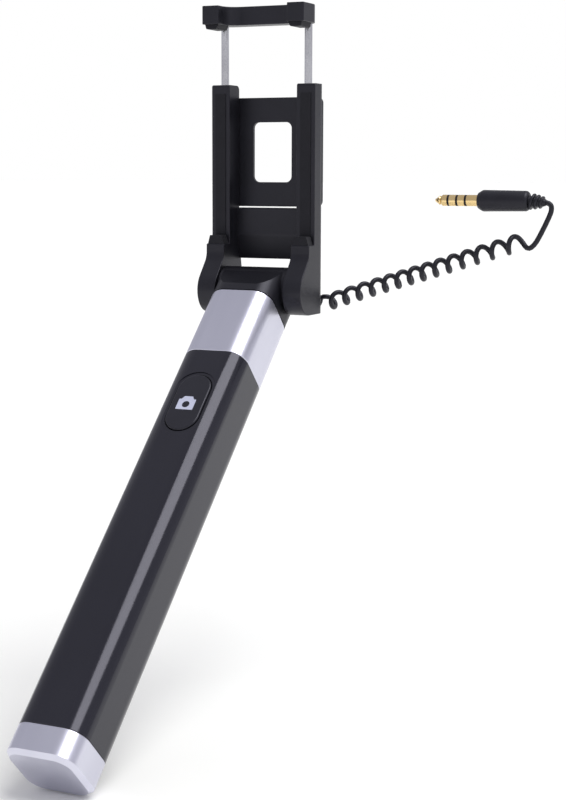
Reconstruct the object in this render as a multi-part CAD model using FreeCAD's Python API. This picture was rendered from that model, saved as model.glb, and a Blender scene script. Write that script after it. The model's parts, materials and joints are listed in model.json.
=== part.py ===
"""Wired selfie stick: a telescopic handle with a shutter button and a tilting, sprung phone clamp.

Millimetres, +Z up.  The clamp stands upright and the handle leans towards -Y, the user's side.
The origin is the centre of the end cap's flat face.  Handle pieces are drawn in a frame of their
own, with the hinge at its origin and +Z running up the stick, and are then leaned and moved.
Clamp and cord pieces are drawn upright with the hinge at the origin, and are only moved.
"""
import FreeCAD, Part
import math
import os
from FreeCAD import Vector

# ---- driving dimensions ---------------------------------------------------------------------
# handle, sizes across and stations along the stick below the hinge
HANDLE_SIDE = 22.0          # width and depth of the rounded square section
HANDLE_CORNER = 6.0         # corner radius of that section
SHELL_WALL = 1.5
COLLAR_TOP = 11.1           # joint between the knuckle and the collar
COLLAR_LENGTH = 25.7
SHELL_LENGTH = 132.8
END_BREAK = 0.15            # edge break where shell, collar and cap meet
CAP_LENGTH = 9.2
CAP_CHAMFER = 1.3
CAP_FLOOR = 2.5             # thickness of the cap's end
CAP_WALL = 1.2              # wall of its spigot
SPIGOT_LENGTH = 2.4
LEAN = 46.5                 # degrees between the stick and the clamp at rest

# telescopic tubes
STAGES = 5
OUTER_TUBE_DIAMETER = 14.8
TUBE_WALL = 0.4
TUBE_GAP = 0.35             # radial space between neighbouring tubes, filled by bushes
TUBE_FOOT_GAP = 3.0         # feet of the tubes above the joint of shell and cap
TUBE_SOCKET = 5.0           # depth of the inmost tube in the knuckle
BUSH_LENGTH = 6.0
BUSH_INSET = 0.5            # bush above the foot of its tube
HOLDER_LENGTH = 10.0        # blocks that centre the outer tube
HOLDER_REACH = 3.5          # upper block's reach below the collar
VENT_DIAMETER = 1.6         # two air holes in each block
VENT_INSET = 4.2
FOOT_PLUG_RIM = 0.5         # plug at the tubes' foot stands out by this
FOOT_PLUG_LENGTH = 2.0
LEAD_HEADROOM = 1.0         # lead stops short of the knuckle
RING_LENGTH = 4.0
KEY_DEPTH = 0.5             # depth of the flat that stops the outermost tube turning
LEAD_CLEARANCE = 0.45       # between the coiled lead and the inmost tube's flat

# shutter button
BUTTON_STATION = 57.9       # its middle, below the hinge
BUTTON_LENGTH = 21.6
BUTTON_WIDTH = 11.0
BUTTON_EDGE = 0.5           # rounded edge of its face
BUTTON_GAP = 0.3
BUTTON_PROUD = 0.35
BUTTON_TRAVEL = 0.35
RECESS_WIDTH = 1.0          # sunk rim in the shell round the button
RECESS_DEPTH = 0.25
FLANGE_GAP = 0.3            # between the shell's inner wall and the button's flange
FLANGE_THICKNESS = 0.4
FLANGE_SIDE = 0.6           # flange beyond the button at its sides
FLANGE_END = 0.8            # and at its ends
DOME_GAP = 0.05             # left between the pressed flange and the dome
DOME_HEIGHT = 0.3
DOME_DIAMETER = 5.0
BOARD_WIDTH = 8.0
BOARD_THICKNESS = 0.5
BOARD_ABOVE = 12.0          # board above and below the button's middle
BOARD_BELOW = 14.0
WIRE_THICKNESS = 0.3
WIRE_WIDTH = 1.6
CHANNEL_WIDTH = 2.4         # slot for the wire in the blocks
MARK_WIDTH = 5.85           # camera sign: body, hump and lens
MARK_HEIGHT = 4.05
MARK_SHIFT = -0.35          # middle of the sign beside the button's
MARK_DROP = 3.1             # foot of the sign below the button's middle
MARK_CORNER = 0.3
MARK_DEPTH = 0.15
MARK_SUNK = 0.02
HUMP_HALF = 1.4
HUMP_SLOPE = 0.7
HUMP_RISE = 1.1
HUMP_CORNER = 0.2
LENS_RADIUS = 1.2

# hinge and clamp
CLAMP_WIDTH = 37.2
EAR_GAP = 24.2              # between the inner faces of the two ears
EAR_BACK = 12.0             # back of the ears behind the hinge
EAR_TOP = 14.2              # top of the ears above the hinge
EAR_PLAN_RADIUS = 5.0       # upright back corners seen from above
NOSE_RADIUS = 7.5           # rounded front and bottom of the ears
EDGE_ROUND = 0.25           # moulded edge of the ears and the upper jaw
KNUCKLE_RADIUS = 6.9
PIN_DIAMETER = 4.0
PIN_INSET = 1.2             # ends of the pin below the ears' outer faces
PIN_HEAD_RIM = 1.5
PIN_HEAD_LENGTH = 1.8
NUT_CORNER = 3.9            # centre of the nut to a corner
NUT_LENGTH = 2.2
SHOULDER_RISE = 2.6         # straight foot of the knuckle
SHOULDER_ROUND = 2.0
NECK_TOP = 2.0              # neck meets the barrel this far above its axis
NECK_SHARE = 0.93           # half depth of the neck there, as a share of the barrel's radius
BARREL_GAP = 0.35           # room for a washer at each end of the barrel
WASHER_PLAY = 0.025
CAP_DISC_DIAMETER = 8.4
CAP_DISC_THICKNESS = 1.1
WASHER_DIAMETER = 10.0
LEG_FRONT = 2.6             # plane that the phone's back rests near
LEG_BACK = 10.0
LEG_TOP = 66.0
LEG_TOP_BACK = 1.5          # rounded top edges of the legs
LEG_TOP_FRONT = 0.8
NOSE_RISE = 1.84            # where the ear's front begins to fall back
EAR_FLOOR_GAP = 0.9         # bottom of the ears below their front radius
EAR_HEEL_RADIUS = 4.6       # back bottom corner of the ears
HEEL_TOP = 5.0
WAIST = 16.0                # height where the ears become legs
BEND_RADIUS = 8.0
NECK_RADIUS = 5.0
EAR_LIP = -1.6              # front of the ears at their top
EAR_THROAT = -1.7           # and at its foot, this high
THROAT_HEIGHT = 9.8
WEB_FOOT = 9.1              # web between the ears
WEB_TOP = 26.0
WEB_THICKNESS = 1.8
PLATE_THICKNESS = 1.2
PLATE_MARGIN = 0.8
PLATE_FOOT = 26.4
PLATE_DROP = 4.0            # top of the plate below the legs' top
PLATE_CORNER = 2.0
WINDOW_HALF = 7.0
WINDOW_INSET = 8.0
SCREW_RADIUS = 0.8
SCREW_HEAD_RADIUS = 1.5
SCREW_HEAD_HEIGHT = 0.7
SCREW_DEPTH = 1.0
SCREW_INSET = 3.2           # screws outside the ears' inner faces
SCREW_LOW = 30.0
SCREW_DROP = 8.0
SLOT_HALF_WIDTH = 0.2
SLOT_DEPTH = 0.3
GROMMET_RADIUS = 1.7
GROMMET_DEPTH = 4.0
GROMMET_ROUND = 0.5
CORD_SOCKET = 1.2

# jaws
PHONE_WIDTH = 66.4          # rest opening between the pads
JAW_WIDTH = 36.0
JAW_HEIGHT = 5.9
JAW_FRONT = -5.4
JAW_BACK = 8.2
JAW_RECESS = 1.9            # front of the bridge between its two blocks
ROD_DIAMETER = 2.5
ROD_SPACING = 30.0
ROD_BACK = 5.3              # rods behind the hinge
ROD_FOOT = 34.0             # lower end of the rods above the hinge
SPRING_DIAMETER = 4.0
SPRING_WIRE = 0.45
SPRING_ROOM = 0.2           # bore wider than the spring
SPRING_CAP = 4.0            # legs closed above the springs
SPRING_WELL = 18.0          # floor of the spring bores above the hinge
ROD_SUNK = 1.5              # rods end below the jaw's top
STOP_LENGTH = 1.2
JAW_FRONT_CORNER = 0.4
JAW_INNER_RADIUS = 4.5
JAW_BACK_RADIUS = 6.0
PAD_HEIGHT = 2.8            # lower pads above the ears
UPPER_PAD_HEIGHT = 1.5
PAD_CORNER = 0.4
PAD_OUTER = 3.0             # half widths of the lower pads at their foot and head
PAD_INNER = 2.8
PAD_HEAD = 2.1
PAD_FRONT = -1.3
UPPER_PAD_OUTER = (2.7, 1.9)    # reach of the upper pads from their middle, at foot and head
UPPER_PAD_INNER = (2.1, 1.7)
UPPER_PAD_INSET = 0.6
STRIP_HALF = 1.8
STRIP_DROP = 3.0
REST_STRIP = 0.3            # soft strips that the phone's back touches

# curly cord and its plug
CORD_DIAMETER = 1.6
COIL_DIAMETER = 6.0
PLUG_DIAMETER = 6.6
PLUG_TAIL_DIAMETER = 6.2
PLUG_LENGTH = 16.2
CONTACT_DIAMETER = 3.5
CONTACT_LENGTH = 14.0
NOSE_CONE = 1.7             # coned nose of the plug
NOSE_RIM = 0.6
TIP_WAIST = (2.6, 1.6)      # stations of the contact's waist from its tip
WAIST_DEPTH = 0.5
TIP_DEPTH = 0.35
TIP_POINT = 0.5
RELIEF_LENGTH = 5.1
RELIEF_RADII = (1.75, 1.25)
RIBS = 3
RIB_START = 0.7
RIB_PITCH = 1.6
RIB_LENGTH = 0.8
RIB_RADIUS = 2.5
RIB_TAPER = 0.3
PLUG_NOSE = Vector(75.3, -1.35, 29.15)

# clearances
RUNNING_FIT = 0.05          # radial, for shafts, tubes and bushes that slide or turn
FREE_GAP = 0.3              # between bodies that only pass each other

# cord route from its grommet: the coiled stretch, then the plain tail up to the plug
LEAD_OUT = [(14.6, 13.2, -6.0), (14.4, 16.6, -6.7), (17.0, 16.2, -5.6)]
COIL_ROUTE = [(17.0, 16.2, -5.6), (21.0, 14.0, -4.3), (31.8, 9.9, -0.9), (44.6, 6.6, 3.0),
              (57.5, 3.3, 6.9), (69.7, 0.7, 10.7), (79.9, -1.1, 13.9), (88.6, -2.2, 16.6)]
TAIL_ROUTE = [(88.6, -2.2, 16.6), (91.4, -1.9, 14.4), (93.6, -1.6, 16.0), (95.9, -1.35, 20.6),
              (97.6, -1.35, 24.2), (98.5, -1.35, 26.6), (98.1, -1.35, 28.5), (96.6, -1.35, 28.75)]

# ---- stations worked out from the dimensions ------------------------------------------------
HALF = HANDLE_SIDE / 2
COLLAR_BASE = COLLAR_TOP + COLLAR_LENGTH
SHELL_BASE = COLLAR_BASE + SHELL_LENGTH
END_FACE = SHELL_BASE + CAP_LENGTH
INNER_SIDE = HANDLE_SIDE - 2 * SHELL_WALL
INNER_CORNER = HANDLE_CORNER - SHELL_WALL
FIT_SIDE = INNER_SIDE - 2 * RUNNING_FIT
OUTER_TUBE_RADIUS = OUTER_TUBE_DIAMETER / 2
TUBE_STEP = TUBE_WALL + TUBE_GAP
INMOST_BORE = OUTER_TUBE_RADIUS - STAGES * TUBE_STEP - TUBE_WALL
LEAD_RADIUS = INMOST_BORE - KEY_DEPTH - LEAD_CLEARANCE
TUBE_FOOT = SHELL_BASE - TUBE_FOOT_GAP
TUBE_HEAD = COLLAR_TOP + FREE_GAP
KNUCKLE_BASE = COLLAR_TOP - FREE_GAP
UPPER_HOLDER_BASE = COLLAR_BASE + HOLDER_REACH
BUTTON_FACE = -HALF - BUTTON_PROUD
FLANGE_FRONT = -HALF + SHELL_WALL + FLANGE_GAP
FLANGE_BACK = FLANGE_FRONT + FLANGE_THICKNESS
DOME_FRONT = FLANGE_BACK + BUTTON_TRAVEL + DOME_GAP
BOARD_FRONT = DOME_FRONT + DOME_HEIGHT
WIRE_BACK = BOARD_FRONT + WIRE_THICKNESS
EAR_INNER = EAR_GAP / 2
EAR_OUTER = CLAMP_WIDTH / 2
EAR_BOTTOM = -(NOSE_RADIUS + EAR_FLOOR_GAP)
EAR_MIDDLE = (EAR_INNER + EAR_OUTER) / 2
PIN_REACH = EAR_OUTER - PIN_INSET
LOWER_PAD_TOP = EAR_TOP + PAD_HEIGHT
UPPER_PAD_BASE = LOWER_PAD_TOP + PHONE_WIDTH
JAW_BASE = UPPER_PAD_BASE + UPPER_PAD_HEIGHT
JAW_TOP = JAW_BASE + JAW_HEIGHT
ROD_HEAD = JAW_TOP - ROD_SUNK
SPRING_SEAT = LEG_TOP - SPRING_CAP
SPRING_BORE = SPRING_DIAMETER + SPRING_ROOM
BARREL_HALF = EAR_INNER - BARREL_GAP
LEAN_RADIANS = math.radians(LEAN)
HINGE = Vector(0, END_FACE * math.sin(LEAN_RADIANS), END_FACE * math.cos(LEAN_RADIANS))
X_AXIS = Vector(1, 0, 0)
Y_AXIS = Vector(0, 1, 0)
Z_AXIS = Vector(0, 0, 1)


# ---- drawing helpers ------------------------------------------------------------------------
def rod_x(y, z, radius, x_low, x_high):
    """Cylinder along X."""
    return Part.makeCylinder(radius, x_high - x_low, Vector(x_low, y, z), X_AXIS)


def rod_y(x, z, radius, y_low, y_high):
    """Cylinder along Y."""
    return Part.makeCylinder(radius, y_high - y_low, Vector(x, y_low, z), Y_AXIS)


def rod_z(x, y, radius, z_low, z_high):
    """Cylinder along Z."""
    return Part.makeCylinder(radius, z_high - z_low, Vector(x, y, z_low), Z_AXIS)


def block(x_low, x_high, y_low, y_high, z_low, z_high):
    """Box between two opposite corners."""
    return Part.makeBox(x_high - x_low, y_high - y_low, z_high - z_low, Vector(x_low, y_low, z_low))


def joined(shapes):
    """One solid, or several, from shapes that touch."""
    result = shapes[0]
    for shape in shapes[1:]:
        result = result.fuse(shape)
    return result.removeSplitter()


def mirrored_pair(shape):
    """The shape and its mirror image across X = 0."""
    return [shape, shape.mirror(Vector(0, 0, 0), X_AXIS)]


def rounded_wire(corners, to_3d):
    """Closed wire through (a, b, radius) corners, each rounded by its own radius."""
    points = [Vector(a, b, 0) for a, b, _ in corners]
    starts, ends, middles = [], [], []
    count = len(corners)
    for i in range(count):
        here = points[i]
        before = (points[i - 1] - here).normalize()
        after = (points[(i + 1) % count] - here).normalize()
        radius = corners[i][2]
        half_angle = before.getAngle(after) / 2
        reach = radius / math.tan(half_angle) if radius else 0
        starts.append(here + before * reach)
        ends.append(here + after * reach)
        towards = before + after
        centre_distance = radius / math.sin(half_angle)
        if radius:
            towards.normalize()
        middles.append(here + towards * (centre_distance - radius))
    edges = []
    for i in range(count):
        if corners[i][2]:
            edges.append(Part.Arc(to_3d(starts[i]), to_3d(middles[i]), to_3d(ends[i])).toShape())
        following = (i + 1) % count
        if (starts[following] - ends[i]).Length > 1e-6:
            edges.append(Part.LineSegment(to_3d(ends[i]), to_3d(starts[following])).toShape())
    return Part.Wire(edges)


def side_profile(corners, x_low, x_high):
    """Solid whose (y, z, radius) outline is seen along X."""
    wire = rounded_wire(corners, lambda p: Vector(x_low, p.x, p.y))
    return Part.Face(wire).extrude(Vector(x_high - x_low, 0, 0))


def plan_profile(corners, z_low, z_high):
    """Solid whose (x, y, radius) outline is seen from above."""
    wire = rounded_wire(corners, lambda p: Vector(p.x, p.y, z_low))
    return Part.Face(wire).extrude(Vector(0, 0, z_high - z_low))


def front_profile(corners, y_low, y_high):
    """Solid whose (x, z, radius) outline is seen along Y."""
    wire = rounded_wire(corners, lambda p: Vector(p.x, y_low, p.y))
    return Part.Face(wire).extrude(Vector(0, y_high - y_low, 0))


def rounded_square(side, corner, z_low, z_high):
    """Upright bar of rounded square section."""
    half = side / 2
    outline = [(-half, -half, corner), (half, -half, corner), (half, half, corner), (-half, half, corner)]
    return plan_profile(outline, z_low, z_high)


def slot_bar(width, length, z_middle, y_low, y_high):
    """Bar along Y with a round-ended outline that is longer along Z."""
    radius = width / 2
    half = length / 2
    outline = [(-radius, z_middle - half, radius * 0.999), (radius, z_middle - half, radius * 0.999),
               (radius, z_middle + half, radius * 0.999), (-radius, z_middle + half, radius * 0.999)]
    return front_profile(outline, y_low, y_high)


def edges_at_z(shape, z):
    """Edges of the shape that lie wholly at one height."""
    flat = []
    for edge in shape.Edges:
        box = edge.BoundBox
        if abs(box.ZMin - z) < 1e-4 and abs(box.ZMax - z) < 1e-4:
            flat.append(edge)
    return flat


def outer_rims(shape, *heights):
    """Edges of the rounded square outline at each height."""
    rims = []
    for z in heights:
        for edge in edges_at_z(shape, z):
            reach = max(abs(edge.BoundBox.XMin), abs(edge.BoundBox.XMax),
                        abs(edge.BoundBox.YMin), abs(edge.BoundBox.YMax))
            if reach > HALF - 1e-4:
                rims.append(edge)
    return rims


def edges_at_x(shape, *places):
    """Edges of the shape that lie wholly at one of the X places."""
    flat = []
    for edge in shape.Edges:
        box = edge.BoundBox
        if any(abs(box.XMin - x) < 1e-4 and abs(box.XMax - x) < 1e-4 for x in places):
            flat.append(edge)
    return flat


def edges_at_y(shape, y):
    """Edges of the shape that lie wholly at one depth."""
    flat = []
    for edge in shape.Edges:
        box = edge.BoundBox
        if abs(box.YMin - y) < 1e-4 and abs(box.YMax - y) < 1e-4:
            flat.append(edge)
    return flat


def keyed_bar(radius, key, z_low, z_high):
    """Round bar with one flat at its back."""
    bar = rod_z(0, 0, radius, z_low, z_high)
    return bar.common(block(-radius, radius, -radius, radius - key, z_low, z_high))


def keyed_sleeve(outer, inner, key, z_low, z_high):
    """Sleeve between two radii, keyed so that its wall is the same on the flat."""
    return keyed_bar(outer, key, z_low, z_high).cut(keyed_bar(inner, key, z_low - 1, z_high + 1))


def tube_path(route):
    """Straight runs joined by tangent arcs, with the arc radii and the path's length."""
    points = [Vector(*p) for p in route]
    edges, radii = [], []
    start = points[0]
    for i in range(1, len(points) - 1):
        back = points[i - 1] - points[i]
        ahead = points[i + 1] - points[i]
        reach = 0.45 * min(back.Length, ahead.Length)
        turn = math.pi - back.getAngle(ahead)
        radius = reach / math.tan(turn / 2)
        radii.append(radius)
        back.normalize()
        ahead.normalize()
        enter = points[i] + back * reach
        leave = points[i] + ahead * reach
        bisector = (back + ahead).normalize()
        middle = points[i] + bisector * (radius / math.cos(turn / 2) - radius)
        edges.append(Part.LineSegment(start, enter).toShape())
        edges.append(Part.Arc(enter, middle, leave).toShape())
        start = leave
    edges.append(Part.LineSegment(start, points[-1]).toShape())
    return Part.Wire(edges), radii


def cord_tube(name, route, diameter):
    """Solid tube along a route, checked against its section times its length."""
    path, radii = tube_path(route)
    direction = Vector(*route[1]) - Vector(*route[0])
    circle = Part.Wire(Part.makeCircle(diameter / 2, Vector(*route[0]), direction))
    tube = path.makePipeShell([circle], True, False)
    section = math.pi * diameter ** 2 / 4
    print(name, "radii", [round(r, 1) for r in radii], "length", round(path.Length, 1),
          "volume ratio", round(tube.Volume / (section * path.Length), 4))
    return tube


# ---- handle ---------------------------------------------------------------------------------
def grip_shell():
    """Black rounded-square grip tube with the button's opening and dished rim."""
    shell = rounded_square(HANDLE_SIDE, HANDLE_CORNER, -SHELL_BASE, -COLLAR_BASE)
    shell = shell.cut(rounded_square(INNER_SIDE, INNER_CORNER, -SHELL_BASE - 1, -COLLAR_BASE + 1))
    opening_width = BUTTON_WIDTH + 2 * BUTTON_GAP
    opening_length = BUTTON_LENGTH + 2 * BUTTON_GAP
    shell = shell.cut(slot_bar(opening_width, opening_length, -BUTTON_STATION, -HALF - 1,
                               -HALF + 2 * SHELL_WALL))
    rim = slot_bar(opening_width + 2 * RECESS_WIDTH, opening_length + 2 * RECESS_WIDTH,
                   -BUTTON_STATION, -HALF - 1, -HALF + RECESS_DEPTH)
    shell = shell.cut(rim)
    return shell.makeChamfer(END_BREAK, outer_rims(shell, -SHELL_BASE, -COLLAR_BASE))


def top_collar():
    """Satin metal collar round the mouth of the handle."""
    collar = rounded_square(HANDLE_SIDE, HANDLE_CORNER, -COLLAR_BASE, -COLLAR_TOP)
    cavity = rounded_square(INNER_SIDE, INNER_CORNER, -COLLAR_BASE - 1, -COLLAR_TOP - SHELL_WALL)
    mouth = rod_z(0, 0, OUTER_TUBE_RADIUS + RUNNING_FIT, -COLLAR_BASE, -COLLAR_TOP + 1)
    collar = collar.makeChamfer(END_BREAK, outer_rims(collar, -COLLAR_BASE, -COLLAR_TOP))
    return collar.cut(cavity).cut(mouth)


def end_cap():
    """Satin metal cap with a chamfered end and a spigot that grips inside the shell."""
    cap = rounded_square(HANDLE_SIDE, HANDLE_CORNER, -END_FACE, -SHELL_BASE)
    cap = cap.makeChamfer(CAP_CHAMFER, edges_at_z(cap, -END_FACE))
    cap = cap.makeChamfer(END_BREAK, outer_rims(cap, -SHELL_BASE))
    spigot = rounded_square(FIT_SIDE, INNER_CORNER, -SHELL_BASE, -SHELL_BASE + SPIGOT_LENGTH)
    hollow = rounded_square(FIT_SIDE - 2 * CAP_WALL, INNER_CORNER - CAP_WALL,
                            -END_FACE + CAP_FLOOR, -SHELL_BASE + SPIGOT_LENGTH + 1)
    return joined([cap, spigot]).cut(hollow)


def tube_holder(z_low, z_high):
    """Moulded block that centres the outer tube in the handle."""
    holder = rounded_square(FIT_SIDE, INNER_CORNER, z_low, z_high)
    for side in (-1, 1):
        holder = holder.cut(rod_z(side * (HALF - VENT_INSET), HALF - VENT_INSET, VENT_DIAMETER / 2,
                                  z_low - 1, z_high + 1))
    wire_channel = block(-CHANNEL_WIDTH / 2, CHANNEL_WIDTH / 2, -HALF, WIRE_BACK, z_low - 1, z_high + 1)
    return holder.cut(rod_z(0, 0, OUTER_TUBE_RADIUS, z_low - 1, z_high + 1)).cut(wire_channel)


def tube_radius(stage):
    """Outer radius of a tube: stage 0 is fixed in the handle."""
    return OUTER_TUBE_RADIUS - stage * TUBE_STEP


def stage_tube(stage):
    """One telescopic tube."""
    radius = tube_radius(stage)
    head = -KNUCKLE_BASE + TUBE_SOCKET if stage == STAGES else -TUBE_HEAD
    return keyed_sleeve(radius, radius - TUBE_WALL, KEY_DEPTH, -TUBE_FOOT, head)


def slide_bush(stage):
    """Plastic bush on the foot of a sliding tube, running in the tube outside it."""
    inner = tube_radius(stage)
    outer = tube_radius(stage - 1) - TUBE_WALL - RUNNING_FIT
    foot = -TUBE_FOOT + BUSH_INSET
    return keyed_sleeve(outer, inner, KEY_DEPTH, foot, foot + BUSH_LENGTH)


def guide_ring(stage):
    """Ring in the mouth of a tube that guides the next tube in."""
    outer = tube_radius(stage) - TUBE_WALL
    inner = tube_radius(stage + 1) + RUNNING_FIT
    return keyed_sleeve(outer, inner, KEY_DEPTH, -TUBE_HEAD - RING_LENGTH, -TUBE_HEAD)


def tube_plug():
    """Plug in the foot of the outer tube that anchors the lead."""
    plug = rod_z(0, 0, OUTER_TUBE_RADIUS + FOOT_PLUG_RIM, -TUBE_FOOT - FOOT_PLUG_LENGTH,
                 -TUBE_FOOT - FREE_GAP)
    return plug.cut(rod_z(0, 0, LEAD_RADIUS, -TUBE_FOOT - FOOT_PLUG_LENGTH - 1, -TUBE_FOOT))


def stick_lead():
    """Coiled lead inside the tubes, as the sleeve it fills."""
    return rod_z(0, 0, LEAD_RADIUS, -TUBE_FOOT - FOOT_PLUG_LENGTH, -KNUCKLE_BASE - LEAD_HEADROOM)


# ---- shutter button -------------------------------------------------------------------------


def shutter_button():
    """Long round-ended key with a retaining flange inside the shell."""
    key = slot_bar(BUTTON_WIDTH, BUTTON_LENGTH, -BUTTON_STATION, BUTTON_FACE, FLANGE_FRONT)
    key = key.makeFillet(BUTTON_EDGE, edges_at_y(key, BUTTON_FACE))
    flange = slot_bar(BUTTON_WIDTH + 2 * FLANGE_SIDE, BUTTON_LENGTH + 2 * FLANGE_END, -BUTTON_STATION,
                      FLANGE_FRONT, FLANGE_BACK)
    return joined([key, flange]).cut(camera_outline(BUTTON_FACE, BUTTON_FACE + MARK_DEPTH))


def camera_outline(y_low, y_high):
    """Generic camera sign: a body with a viewfinder hump and a round lens hole."""
    half = MARK_WIDTH / 2
    base = -BUTTON_STATION - MARK_DROP
    shoulder = base + MARK_HEIGHT
    peak = shoulder + HUMP_RISE
    foot = HUMP_HALF + HUMP_SLOPE
    corners = [(-half, base, MARK_CORNER), (half, base, MARK_CORNER), (half, shoulder, MARK_CORNER),
               (foot, shoulder, 0), (HUMP_HALF, peak, HUMP_CORNER), (-HUMP_HALF, peak, HUMP_CORNER),
               (-foot, shoulder, 0), (-half, shoulder, MARK_CORNER)]
    outline = [(MARK_SHIFT + x, z, radius) for x, z, radius in corners]
    lens = rod_y(MARK_SHIFT, base + MARK_HEIGHT / 2, LENS_RADIUS, y_low - 1, y_high + 1)
    return front_profile(outline, y_low, y_high).cut(lens)


def camera_mark():
    """Pale inlay in the button."""
    return camera_outline(BUTTON_FACE + MARK_SUNK, BUTTON_FACE + MARK_DEPTH)


def switch_board():
    """Narrow circuit board behind the button."""
    half = BOARD_WIDTH / 2
    return block(-half, half, BOARD_FRONT, BOARD_FRONT + BOARD_THICKNESS,
                 -BUTTON_STATION - BOARD_BELOW, -BUTTON_STATION + BOARD_ABOVE)


def dome_switch():
    """Snap dome on the board, under the button."""
    dome = rod_y(0, -BUTTON_STATION, DOME_DIAMETER / 2, DOME_FRONT, BOARD_FRONT)
    return dome.makeFillet(DOME_HEIGHT / 2, edges_at_y(dome, DOME_FRONT))


def board_wire():
    """Flat wire from the board down to the foot of the tubes."""
    half = WIRE_WIDTH / 2
    return block(-half, half, BOARD_FRONT, WIRE_BACK, -TUBE_FOOT, -BUTTON_STATION - BOARD_BELOW)


# ---- hinge ----------------------------------------------------------------------------------
def knuckle():
    """Head of the inmost tube: a barrel on the hinge that spreads to the collar's section."""
    barrel = rod_x(0, 0, KNUCKLE_RADIUS, -BARREL_HALF, BARREL_HALF)
    shoulder = -KNUCKLE_BASE + SHOULDER_RISE
    throat = KNUCKLE_RADIUS * NECK_SHARE
    flare = [(-HALF, -KNUCKLE_BASE, 0), (HALF, -KNUCKLE_BASE, 0), (HALF, shoulder, SHOULDER_ROUND),
             (throat, NECK_TOP, 0), (-throat, NECK_TOP, 0), (-HALF, shoulder, SHOULDER_ROUND)]
    neck = side_profile(flare, -HALF, HALF)
    neck = neck.common(rounded_square(HANDLE_SIDE, HANDLE_CORNER, -KNUCKLE_BASE - 1, NECK_TOP + 1))
    body = joined([barrel, neck])
    socket = -KNUCKLE_BASE + TUBE_SOCKET
    body = body.cut(keyed_bar(tube_radius(STAGES), KEY_DEPTH, -KNUCKLE_BASE - 1, socket))
    body = body.cut(rod_z(0, 0, LEAD_RADIUS, -KNUCKLE_BASE - 1, socket + 1))
    return body.cut(rod_x(0, 0, PIN_DIAMETER / 2 + RUNNING_FIT, -EAR_OUTER, EAR_OUTER))


def hinge_pin():
    """Pin with a low round head, through both ears and the knuckle."""
    shank = rod_x(0, 0, PIN_DIAMETER / 2, -PIN_REACH, PIN_REACH)
    head = rod_x(0, 0, PIN_DIAMETER / 2 + PIN_HEAD_RIM, -PIN_REACH, -PIN_REACH + PIN_HEAD_LENGTH)
    return joined([shank, head])


def hinge_nut():
    """Hexagon nut on the pin's far end."""
    inner_face = PIN_REACH - NUT_LENGTH
    points = []
    for side in range(7):
        angle = math.radians(60 * side)
        points.append(Vector(inner_face, NUT_CORNER * math.cos(angle), NUT_CORNER * math.sin(angle)))
    nut = Part.Face(Part.makePolygon(points)).extrude(Vector(NUT_LENGTH, 0, 0))
    return nut.cut(rod_x(0, 0, PIN_DIAMETER / 2, inner_face - 1, PIN_REACH + 1))


def hinge_caps():
    """Flush discs that close the ears over the pin."""
    disc = rod_x(0, 0, CAP_DISC_DIAMETER / 2, EAR_OUTER - CAP_DISC_THICKNESS, EAR_OUTER)
    return Part.makeCompound(mirrored_pair(disc))


def friction_washers():
    """Thin washers between the knuckle and the ears."""
    inner_face = BARREL_HALF + WASHER_PLAY
    washer = rod_x(0, 0, WASHER_DIAMETER / 2, inner_face, EAR_INNER)
    washer = washer.cut(rod_x(0, 0, PIN_DIAMETER / 2, 0, EAR_OUTER))
    return Part.makeCompound(mirrored_pair(washer))


# ---- clamp ----------------------------------------------------------------------------------
def rod_places():
    """X places of the two guide rods."""
    return (-ROD_SPACING / 2, ROD_SPACING / 2)


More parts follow.
